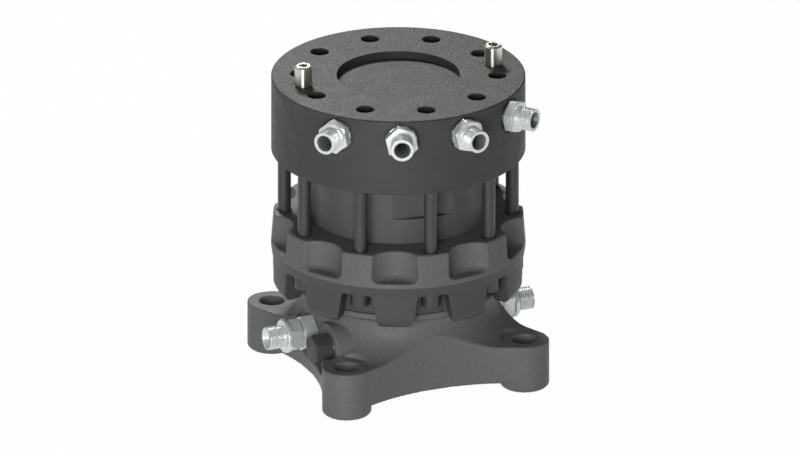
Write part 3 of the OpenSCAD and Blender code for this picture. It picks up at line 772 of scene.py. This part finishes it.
def placed(shape: Shape, degrees: float, height: float, aside: float = 0.0) -> Shape:
    """Moves a fitting drawn along X to its port.

    Args:
        shape: the fitting.
        degrees: the port's direction about Z.
        height: the port's height in millimetres.
        aside: how far the port stands to the side of the axis.

    Returns:
        The same shape, moved.
    """
    turn = Matrix.Rotation(math.radians(degrees), 4, "Z")
    shift = Matrix.Translation(Vector((0.0, aside, height)) * MM)
    bmesh.ops.transform(shape, matrix=turn @ shift, verts=shape.verts[:])
    return shape


@dataclass
class HoseAdapter:
    """One upper adapter: stud, hexagon, thread relief, helical thread and cone mouth.

    All fields are in millimetres but the twist, the hexagon's turn about X in degrees. The
    flare is the slope from the hexagon down to the relief, and the rim the mouth's chamfer.
    """

    seat: float = 113.7
    washer: float = 3.0
    flats: float = 27.0
    hex_length: float = 8.6
    hex_chamfer: float = 1.6
    twist: float = 12.0
    relief: float = 3.0
    relief_depth: float = 1.25
    flare: float = 1.2
    thread_radius: float = 10.4775
    thread_length: float = 12.5
    stud: float = 12.0
    chamfer: float = 1.0
    bore: float = 5.4
    mouth: float = 7.6
    rim: float = 0.15

    def shape(self) -> Shape:
        """Builds the adapter along X.

        Returns:
            The closed shape.
        """
        hex_start = self.seat + self.washer
        hex_end = hex_start + self.hex_length
        thread_start = hex_end + self.relief
        end = thread_start + self.thread_length
        stud = self.seat - self.stud
        thread = Thread(thread_start, end, self.thread_radius)
        relief = self.thread_radius - self.relief_depth
        outline = [
            (stud, self.bore), (stud, self.thread_radius - self.chamfer),
            (stud + self.chamfer, self.thread_radius), (hex_start + OVER, self.thread_radius),
            (hex_end + self.flare / 2.0, relief + self.flare), (hex_end + self.flare, relief),
            (thread_start - self.flare / 2.0, relief), *thread.stations(),
            (end, self.mouth + self.rim), (end - self.rim, self.mouth),
            (end - (self.mouth - self.bore) / SLOPE, self.bore),
        ]
        body = turned(outline, 96)
        thread.cut(body)
        nut = hexagon(self.flats, hex_start, hex_end, self.hex_chamfer, both=False)
        twist = Matrix.Rotation(math.radians(self.twist), 3, "X")
        bmesh.ops.rotate(nut, verts=nut.verts[:], matrix=twist)
        nut = holed(nut, hex_start, hex_end, self.bore + SINK)
        return with_bore(joined(body, nut, "UNION"), self.mouth)


@dataclass
class FootFittings:
    """The reducer and the outer adapter of one side of the foot, and the blanking plug.

    All fields are in millimetres. The inlet is the adapter's stud inside the reducer. The
    thread's run is its plain neck, which has a groove. The collar's face is the length and
    depth of its near chamfer, and its round the far edge, as lengths and depths. The plug's
    near and far are its collar's chamfers, and its hexagon sinks into the collar.
    """

    seat: float = 82.3
    washer: float = 1.6
    stud: float = 14.0
    chamfer: float = 1.0
    reducer_flats: float = 29.0
    reducer_length: float = 13.4
    reducer_chamfer: float = 1.5
    reducer_thread: float = 13.2
    socket_gap: float = 0.05
    flats: float = 27.0
    hex_chamfer: float = 1.3
    hex_gap: float = 0.2
    end: float = 130.0
    thread_length: float = 15.7
    thread_radius: float = 10.48
    thread_run: float = 1.5
    groove: float = 0.9
    groove_depth: float = 1.3
    inlet: float = 10.0
    collar: float = 4.0
    collar_radius: float = 15.6
    collar_face: tuple[float, float] = (0.8, 1.1)
    collar_round: tuple[tuple[float, float], ...] = ((1.4, 0.0), (0.4, 0.7), (0.0, 1.9))
    bore: float = 6.0
    mouth: float = 9.0
    rim: float = 0.2
    plug_seat: float = 84.8
    plug_washer: float = 1.5
    plug_collar: float = 3.0
    plug_radius: float = 13.0
    plug_near: float = 0.4
    plug_far: tuple[float, float] = (0.6, 0.8)
    plug_thread: float = 8.3
    plug_stud: float = 12.0
    plug_flats: float = 25.0
    plug_chamfer: float = 1.6
    plug_sink: float = 0.5
    plug_end: float = 102.8

    def reducer(self) -> Shape:
        """Builds the reducer along X.

        Returns:
            The closed shape.
        """
        start = self.seat + self.washer
        end = start + self.reducer_length
        near, inlet = self.seat - self.stud, end - self.inlet
        socket = self.thread_radius + self.socket_gap
        outline = [
            (near, self.bore), (near, self.reducer_thread - self.chamfer),
            (near + self.chamfer, self.reducer_thread), (start + OVER, self.reducer_thread),
            (start + OVER, socket), (inlet, socket), (inlet, self.bore),
        ]
        nut = hexagon(self.reducer_flats, start, end, self.reducer_chamfer, both=False)
        nut = holed(nut, start, end, self.thread_radius + SINK, 64)
        return joined(turned(outline, 96), nut, "UNION")

    def adapter(self) -> Shape:
        """Builds the outer adapter along X.

        Returns:
            The closed shape.
        """
        seat = self.seat + self.washer + self.reducer_length
        start, inlet = seat + self.washer, seat - self.inlet
        thread_start = self.end - self.thread_length
        collar_start = thread_start - self.collar
        step, drop = self.collar_face
        neck = self.thread_radius - self.groove_depth
        thread = Thread(thread_start + self.thread_run, self.end, self.thread_radius, lead=1.3)
        outline = [
            (inlet, self.bore), (inlet, self.thread_radius - self.chamfer),
            (inlet + self.chamfer, self.thread_radius),
            (collar_start - step, self.thread_radius),
            (collar_start - step, self.collar_radius - drop), (collar_start, self.collar_radius),
            *((thread_start - x, self.collar_radius - deep) for x, deep in self.collar_round),
            (thread_start, neck), (thread_start + self.groove, neck), *thread.stations(),
            (self.end, self.mouth + self.rim), (self.end - self.rim, self.mouth),
            (self.end - (self.mouth - self.bore) / SLOPE, self.bore),
        ]
        body = turned(outline, 96)
        thread.cut(body)
        hex_end = collar_start - self.hex_gap
        nut = hexagon(self.flats, start, hex_end, self.hex_chamfer, both=True)
        nut = holed(nut, start, collar_start, self.bore + SINK)
        return with_bore(joined(body, nut, "UNION"), self.mouth)

    def plug(self) -> Shape:
        """Builds the blanking plug along X.

        Returns:
            The closed shape.
        """
        collar = self.plug_seat + self.plug_washer
        start = collar + self.plug_collar
        near = self.plug_seat - self.plug_stud
        outline = [
            (near, 0.0), (near, self.plug_thread - self.chamfer),
            (near + self.chamfer, self.plug_thread), (collar, self.plug_thread),
            (collar, self.plug_radius - self.plug_near),
            (collar + self.plug_near, self.plug_radius),
            (start - self.plug_far[0], self.plug_radius),
            (start, self.plug_radius - self.plug_far[1]), (start, 0.0),
        ]
        sunk = start - self.plug_sink
        head = hexagon(self.plug_flats, sunk, self.plug_end, self.plug_chamfer, both=False)
        return joined(turned(outline, 72), head, "UNION")


def block(low: Sequence[float], high: Sequence[float]) -> Shape:
    """Makes a box between two corners, in millimetres.

    Args:
        low: the corner with the least x, y and z.
        high: the corner with the most.

    Returns:
        The closed shape.
    """
    shape = bmesh.new()
    bmesh.ops.create_cube(shape, size=1.0)
    size = Vector(high) - Vector(low)
    for vert in shape.verts:
        vert.co = Vector([(low[i] + (vert.co[i] + 0.5) * size[i]) * MM for i in range(3)])
    return shape


@dataclass
class FootForm:
    """The foot's outside as the pattern shaped it, worked on a copy of its CAD mesh.

    Attributes:
        neck: radius of the neck above the cove.
        cove: radius of the cove between the plate and the neck.
        plate_top: height of the plate's machined ears.
        neck_top: height at which the lip's slope begins.
        side_radius: radius of the plate's concave sides.
        side_centre: distance of their centres from the axis.
        pad_x: how far out the ports' pocket is cut.
        pocket: radius of the pocket's two round ends.
        port_height: height of the ports.
        plug_aside: how far the blanked port stands aside.
        boss: radius of the boss round the blanked port.
        boss_x: where the boss begins along X.
        rim: radius of the recess in the boss.
        rim_x: how far out the boss's rim stands.
        rim_depth: how far that recess goes in past the pocket's floor.
        plug_bore: radius of the bore behind the recess.
        bore_x: where that bore begins along X.
        flank_depth: how far a flank begins inside the pocket's floor.
        flank_low: least Y and Z of a flank.
        flank_high: greatest X, Y and Z of a flank.
        core: least and greatest Y of the CAD mesh's own wall behind the pocket.
        overlap: how deep a flank reaches into that wall.
        height: a height above all flanks.
        far: a distance along X beyond the foot.
        far_radius: a radius beyond the foot.
    """

    neck: float = 87.0
    cove: float = 30.0
    plate_top: float = 45.02
    neck_top: float = 78.3
    side_radius: float = 180.0
    side_centre: float = 270.12
    pad_x: float = 85.2
    pocket: float = 23.6
    port_height: float = 46.3
    plug_aside: float = 40.8
    boss: float = 22.5
    boss_x: float = 62.0
    rim: float = 17.0
    rim_x: float = 86.8
    rim_depth: float = 0.3
    plug_bore: float = 8.3
    bore_x: float = 60.0
    flank_depth: float = 3.0
    flank_low: tuple[float, float] = (-60.0, 20.0)
    flank_high: tuple[float, float, float] = (110.0, 72.0, 78.0)
    core: tuple[float, float] = (-40.0, 62.0)
    overlap: float = 0.2
    height: float = 90.0
    far: float = 130.0
    far_radius: float = 170.0

    def along_x(self, radius: float, start: float, end: float, aside: float) -> Shape:
        """Makes a cylinder along X at the ports' height.

        Args:
            radius: its radius.
            start: where it begins along X.
            end: where it ends.
            aside: its place along Y.

        Returns:
            The closed shape.
        """
        return placed(rod(start, end, radius, 120), 0.0, self.port_height, aside)

    def above_cove(self) -> Shape:
        """Makes the ring of air round the neck, above the plate."""
        steps = 24
        outline = []
        for i in range(steps + 1):
            a = TAU / 4.0 * i / steps
            up, out = self.cove * (1.0 - math.cos(a)), self.cove * (1.0 - math.sin(a))
            outline.append((self.plate_top + up, self.neck + out))
        outline += [(self.neck_top, self.neck), (self.neck_top, self.far_radius)]
        outline.append((self.plate_top, self.far_radius))
        return turned(outline, 240, Axis.Z)

    def pocket_air(self) -> Shape:
        """Makes the air in the pocket: two round ends and the straight part between them."""
        near = self.along_x(self.pocket, self.pad_x, self.far, 0.0)
        aside = self.along_x(self.pocket, self.pad_x, self.far, self.plug_aside)
        low = self.port_height - self.pocket
        top = low + 2.0 * self.pocket
        middle = block((self.pad_x, 0.0, low), (self.far, self.plug_aside, top))
        return joined(joined(near, aside, "UNION"), middle, "UNION")

    def side(self) -> Shape:
        """Makes what one side of the foot has more than the CAD mesh: full flanks and the boss."""
        flank = block((self.pad_x - self.flank_depth, *self.flank_low), self.flank_high)
        reach = self.side_radius
        hollow = [(0.0, 0.0), (0.0, reach), (self.height, reach), (self.height, 0.0)]
        sweep = turned(hollow, 720, Axis.Z)
        aside = Vector((self.side_centre * MM, 0.0, 0.0))
        bmesh.ops.translate(sweep, verts=sweep.verts[:], vec=aside)
        left, right = self.core
        core = block((0.0, left, 0.0), (self.pad_x - self.overlap, right, self.height))
        for tool in (sweep, self.above_cove(), core, self.pocket_air()):
            flank = joined(flank, tool, "DIFFERENCE")
        boss = self.along_x(self.boss, self.boss_x, self.rim_x, self.plug_aside)
        return joined(flank, boss, "UNION")

    def shape(self) -> Shape:
        """Works the CAD mesh of the foot into its cast form.

        Returns:
            The closed shape.
        """
        foot = joined(cad_copy("base_casting"), self.above_cove(), "DIFFERENCE")
        floor = self.pad_x - self.rim_depth
        recess = self.along_x(self.rim, floor, self.rim_x + OVER, self.plug_aside)
        side = joined(self.side(), recess, "DIFFERENCE")
        bore = self.along_x(self.plug_bore, self.bore_x, self.pad_x, self.plug_aside)
        side = joined(side, bore, "DIFFERENCE")
        for degrees in (0.0, 180.0):
            foot = joined(foot, placed(side.copy(), degrees, 0.0), "UNION")
        side.free()
        return foot


def cad_copy(node: str) -> Shape:
    """Copies a CAD node's mesh and closes its seams.

    Args:
        node: the CAD node.

    Returns:
        The closed shape.
    """
    shape = bmesh.new()
    shape.from_mesh(frame["nodes"][node].data)
    bmesh.ops.remove_doubles(shape, verts=shape.verts[:], dist=SEAM_MM * MM)
    return shape


@dataclass
class Castings:
    """The foot and the bearing housing, with the soft edges that a sand mould leaves.

    Attributes:
        foot_grid: the spacing in millimetres at which the foot's skin is rebuilt.
        foot_passes: how often it is relaxed, which rounds its edges.
        housing_grid: the same spacing for the housing, whose edges are crisper.
        housing_passes: how often the housing is relaxed.
        ease: how far each pass moves a point to the middle of its neighbours.
        limit: most triangles that a skin may have.
    """

    foot_grid: float = 1.0
    foot_passes: int = 4
    housing_grid: float = 0.85
    housing_passes: int = 2
    ease: float = 0.5
    limit: int = 190000

    def skin(
        self, shape: Shape, name: str, grid_mm: float, passes: int, finish: Material
    ) -> bpy.types.Object:
        """Rebuilds a shape's surface with rounded edges.

        Args:
            shape: the closed shape, which is freed.
            name: the new piece's name.
            grid_mm: the spacing at which the skin is rebuilt.
            passes: how often it is relaxed.
            finish: the material of the casting.

        Returns:
            The piece that stands for the node.
        """
        piece = finished_piece(name, shape, finish)
        rebuild = piece.modifiers.new("skin", "REMESH")
        rebuild.mode = "VOXEL"
        rebuild.voxel_size = grid_mm * MM
        rebuild.use_smooth_shade = True
        relax = piece.modifiers.new("relax", "SMOOTH")
        relax.factor = self.ease
        relax.iterations = passes
        self.settle(piece)
        rebuilt = self.triangles(piece)
        if rebuilt > self.limit:
            thin = piece.modifiers.new("thin", "DECIMATE")
            thin.ratio = self.limit / rebuilt
            self.settle(piece)
        LOG.info("%s: %d triangles, rebuilt with %d", piece.name, self.triangles(piece), rebuilt)
        return piece

    @staticmethod
    def triangles(piece: bpy.types.Object) -> int:
        """Returns how many triangles a piece has."""
        return sum(len(face.vertices) - 2 for face in piece.data.polygons)

    @staticmethod
    def settle(piece: bpy.types.Object) -> None:
        """Puts a piece's modifiers into its mesh.

        Args:
            piece: the piece, which keeps no modifier.
        """
        bpy.context.view_layer.update()
        ready = piece.evaluated_get(bpy.context.evaluated_depsgraph_get())
        result = bpy.data.meshes.new_from_object(ready)
        piece.modifiers.clear()
        piece.data = result
        result.name = piece.name

    def build(self, foot_iron: Material, housing_iron: Material) -> None:
        """Builds both castings.

        Args:
            foot_iron: the foot's material.
            housing_iron: the housing's material.
        """
        form = FootForm().shape()
        foot = self.skin(form, "foot_skin", self.foot_grid, self.foot_passes, foot_iron)
        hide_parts("base_casting")
        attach(foot, "base")
        form, grid = cad_copy("bearing_housing"), self.housing_grid
        housing = self.skin(form, "housing_skin", grid, self.housing_passes, housing_iron)
        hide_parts("bearing_housing")
        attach(housing, "housing")


@dataclass
class Fittings:
    """All threaded fittings, each in the place of its CAD node.

    Attributes:
        port_height: height of the upper ports, in millimetres.
        foot_height: height of the foot's ports.
        plug_aside: how far the blanked port stands aside.
    """

    port_height: float = 267.0
    foot_height: float = 46.3
    plug_aside: float = 40.8

    def put(
        self, name: str, shape: Shape, finish: Material, body: str,
        nodes: Sequence[str], bore: Optional[Material] = None,
    ) -> None:
        """Finishes one fitting and sets it in the place of its nodes.

        Args:
            name: the piece's name.
            shape: its mesh, already in place.
            finish: its material.
            body: the body it rides on.
            nodes: the CAD nodes that it stands for.
            bore: the material of its bore, if that differs, darker with painted shade.
        """
        piece = finished_piece(name, shape, finish)
        if bore is not None:
            piece.data.materials.append(bore)
        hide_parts(*nodes)
        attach(piece, body)
        LOG.info("made %s with %d faces", name, len(piece.data.polygons))

    def build(self, zinc: Material, drilled: Material, black: Material) -> None:
        """Builds every fitting.

        Args:
            zinc: the adapters' material.
            drilled: the material of their bores, darker with painted shade.
            black: the plugs' material.
        """
        upper = HoseAdapter().shape()
        for number in range(1, 5):
            shape = placed(upper.copy(), self.port_angle(number), self.port_height)
            name, nodes = f"hose_adapter_{number}", [f"port_adapter_{number}"]
            self.put(name, shape, zinc, "housing", nodes, drilled)
        upper.free()
        foot = FootFittings()
        reducer, adapter, plug = foot.reducer(), foot.adapter(), foot.plug()
        plugs = bmesh.new()
        for number, degrees in ((1, 0.0), (2, 180.0)):
            for kind, shape, bore in (("reducer", reducer, None), ("adapter", adapter, drilled)):
                name, nodes = f"foot_{kind}_{number}", [f"base_{kind}_{number}"]
                moved = placed(shape.copy(), degrees, self.foot_height)
                self.put(name, moved, zinc, "base", nodes, bore)
            one = placed(plug.copy(), degrees, self.foot_height, self.plug_aside)
            holder = bpy.data.meshes.new("one_plug")
            one.to_mesh(holder)
            one.free()
            plugs.from_mesh(holder)
            bpy.data.meshes.remove(holder)
        self.put("foot_plugs", plugs, black, "base", ["base_plugs"])
        for shape in (reducer, adapter, plug):
            shape.free()

    @staticmethod
    def port_angle(number: int) -> float:
        """Returns the direction of an upper port about Z, in degrees."""
        mount = next(m for m in frame["record"]["mounts"] if m["name"] == f"port_{number}")
        return math.degrees(math.atan2(mount["axis"][1], mount["axis"][0]))


def toward(degrees: float, height: float) -> Vector:
    """Returns the direction from the object to a viewpoint.

    Args:
        degrees: the viewpoint's turn about the object.
        height: its height above the horizon, in degrees.

    Returns:
        A vector of length one.
    """
    a, e = math.radians(degrees), math.radians(height)
    return Vector((math.sin(a) * math.cos(e), -math.cos(a) * math.cos(e), math.sin(e)))


@dataclass(frozen=True)
class SoftBox:
    """One lamp that looks at the object: its turn from the camera and its height above the
    horizon in degrees, its reach and size in metres, and its power in watts.
    """

    name: str
    turn: float
    height: float
    reach: float
    size: float
    watts: float


@dataclass
class Studio:
    """Camera, floor, world and lamps.

    Attributes:
        metres_per_pixel: the photograph's scale on the object.
        azimuth: the camera's turn about the object, in degrees.
        elevation: its height above the horizon.
        axis_pixel: where the floor point under the axis lies in the image.
        distance: the camera's distance in metres.
        clip: how far it sees, in metres.
        floor_size: half the floor's width in metres.
        floor_white: how white the floor shows, from 0 for its own colour to 1.
        room_glow: strength of the room's light at the horizon and overhead.
        aim: height in metres that the lamps look at.
    """

    metres_per_pixel: float = 0.908 * MM
    azimuth: float = -22.8
    elevation: float = 22.0
    axis_pixel: tuple[float, float] = (398.3, 365.3)
    distance: float = 3.0
    clip: float = 50.0
    floor_size: float = 20.0
    floor_white: float = 0.985
    floor_colour: str = "#bcbcbc"
    room_colour: str = "#f6f7f8"
    room_glow: tuple[float, float] = (0.15, 0.2)
    aim: float = 0.15
    lamps: tuple[SoftBox, ...] = (
        SoftBox("key_softbox", -165.0, 47.0, reach=1.6, size=0.4, watts=22.0),
        SoftBox("front_softbox", -10.0, 8.0, reach=1.8, size=0.9, watts=20.0),
    )

    def camera(self) -> None:
        """Sets up the parallel camera at the photograph's angle."""
        lens = bpy.data.cameras.new("photo_camera")
        lens.type = "ORTHO"
        lens.ortho_scale = IMAGE_WIDTH * self.metres_per_pixel
        lens.clip_end = self.clip
        camera = bpy.data.objects.new("photo_camera", lens)
        bpy.context.scene.collection.objects.link(camera)
        back = toward(self.azimuth, self.elevation)
        turn = (-back).to_track_quat("-Z", "Y")
        right = turn @ Vector((1.0, 0.0, 0.0))
        up = turn @ Vector((0.0, 1.0, 0.0))
        across = (IMAGE_WIDTH / 2.0 - self.axis_pixel[0]) * self.metres_per_pixel
        rise = (self.axis_pixel[1] - IMAGE_HEIGHT / 2.0) * self.metres_per_pixel
        camera.location = right * across + up * rise + back * self.distance
        camera.rotation_mode = "QUATERNION"
        camera.rotation_quaternion = turn
        bpy.context.scene.camera = camera

    def floor(self) -> None:
        """Lays the pale floor, which shows white with a soft shadow."""
        shape = bmesh.new()
        bmesh.ops.create_grid(shape, x_segments=1, y_segments=1, size=self.floor_size)
        made = bpy.data.materials.new("pale_studio_floor")
        made.use_nodes = True
        tree = made.node_tree
        tree.nodes.clear()
        path = add_node(tree, "ShaderNodeLightPath").outputs
        seen = path["Is Camera Ray"]
        for ray in ("Is Glossy Ray", "Is Transmission Ray"):
            most, pair = {"operation": "MAXIMUM"}, {0: seen, 1: path[ray]}
            seen = add_node(tree, "ShaderNodeMath", most, links=pair).outputs[0]
        times, white_share = {"operation": "MULTIPLY"}, {1: self.floor_white}
        share = add_node(tree, "ShaderNodeMath", times, white_share, {0: seen}).outputs[0]
        colour = {"Color": linear(self.floor_colour)}
        matt = add_node(tree, "ShaderNodeBsdfDiffuse", values=colour).outputs["BSDF"]
        glow = {"Color": linear("#ffffff"), "Strength": 1.0}
        white = add_node(tree, "ShaderNodeEmission", values=glow).outputs["Emission"]
        mix = add_node(tree, "ShaderNodeMixShader", links={0: share, 1: matt, 2: white})
        add_node(tree, "ShaderNodeOutputMaterial", links={"Surface": mix.outputs["Shader"]})
        floor = finished_piece("studio_floor", shape, made)

    def world(self) -> None:
        """Fills the room with a soft light that is brighter above, and shows it as white."""
        world = bpy.data.worlds.new("studio_room")
        bpy.context.scene.world = world
        world.use_nodes = True
        tree = world.node_tree
        tree.nodes.clear()
        seen = add_node(tree, "ShaderNodeLightPath").outputs["Is Camera Ray"]
        where = add_node(tree, "ShaderNodeTexCoord").outputs["Generated"]
        height = add_node(tree, "ShaderNodeSeparateXYZ", links={0: where}).outputs["Z"]
        glow = {"Strength": ramp(tree, height, 0.0, 1.0, *self.room_glow)}
        colour = {"Color": linear(self.room_colour)}
        room = add_node(tree, "ShaderNodeBackground", values=colour, links=glow).outputs[0]
        plain = {"Color": linear("#ffffff"), "Strength": 1.0}
        white = add_node(tree, "ShaderNodeBackground", values=plain).outputs[0]
        mix = add_node(tree, "ShaderNodeMixShader", links={0: seen, 1: room, 2: white})
        add_node(tree, "ShaderNodeOutputWorld", links={"Surface": mix.outputs["Shader"]})

    def hang(self, box: SoftBox) -> None:
        """Hangs one soft box.

        Args:
            box: where it hangs and how bright it is.
        """
        light = bpy.data.lights.new(box.name, "AREA")
        light.shape = "DISK"
        light.size = box.size
        light.energy = box.watts
        lamp = bpy.data.objects.new(box.name, light)
        bpy.context.scene.collection.objects.link(lamp)
        back = toward(self.azimuth + box.turn, box.height)
        lamp.location = Vector((0.0, 0.0, self.aim)) + back * box.reach
        lamp.rotation_mode = "QUATERNION"
        lamp.rotation_quaternion = (-back).to_track_quat("-Z", "Y")

    def build(self) -> None:
        """Sets up the whole studio."""
        self.camera()
        self.floor()
        self.world()
        for box in self.lamps:
            self.hang(box)


def main() -> None:
    """Builds the studio and dresses every piece of the rotator."""
    logging.basicConfig(level=logging.INFO, format="%(name)s: %(message)s")
    bpy.context.scene.view_settings.view_transform = "Standard"
    Studio().build()
    made = {}
    for finish, names in DRESSING.items():
        made[finish] = finish.material()
        for name in names:
            dress(name, made[finish])
    Castings().build(FOOT_IRON.material(), HOUSING_IRON.material())
    Fittings().build(made[ZINC_PLATE], BORE_STEEL_AND_SHADE.material(), made[BLACK_OXIDE])


if __name__ == "__main__":
    main()
